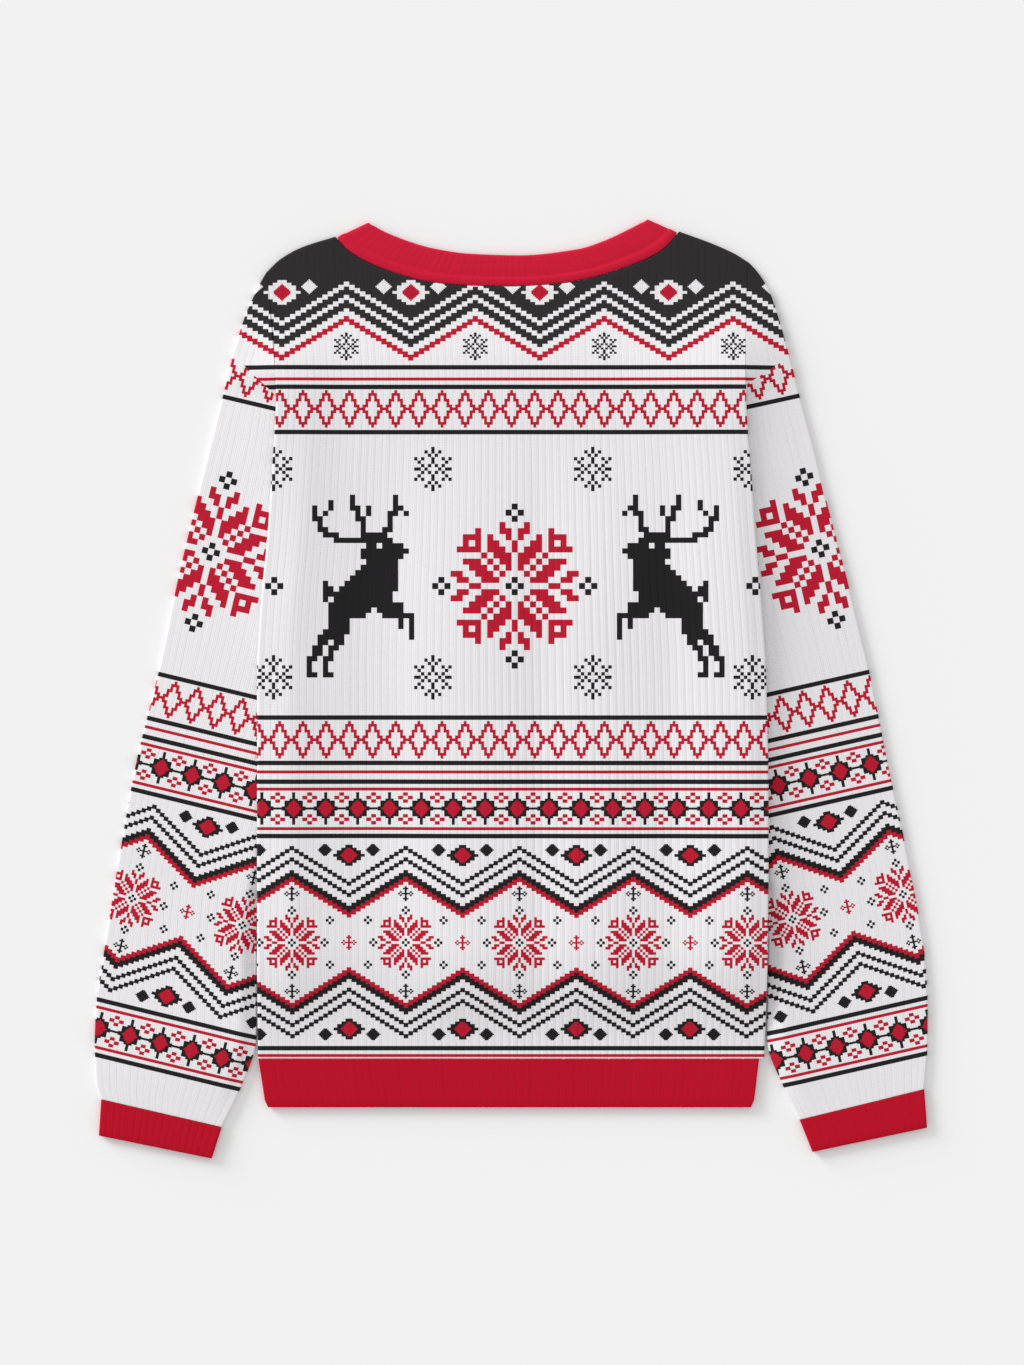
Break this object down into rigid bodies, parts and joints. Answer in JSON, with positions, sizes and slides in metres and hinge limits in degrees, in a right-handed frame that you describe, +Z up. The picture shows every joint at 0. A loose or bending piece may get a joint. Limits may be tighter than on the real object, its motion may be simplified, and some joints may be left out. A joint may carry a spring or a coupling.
{
  "type": "christmas sweater",
  "caption": "Ribbed knit christmas sweater with a round neck and long sleeves, laid flat with its back up.",
  "frame": {"origin": "middle of the flat garment's box, on the surface that it lies on", "axes": "+X to the right as seen from above, +Y up the garment to its neck, +Z up from the surface; the back faces +Z"},
  "size_m": [0.6242, 0.7024, 0.0126],
  "materials": {
    "knit_print": "matte",
    "red_rib": "matte"
  },
  "bodies": {
    "root": {"back_panel": "knit_print", "front_panel": "knit_print", "left_sleeve": "knit_print", "right_sleeve": "knit_print", "neck_band": "red_rib", "hem_band": "red_rib", "left_cuff": "red_rib", "right_cuff": "red_rib"}
  },
  "joints": []
}
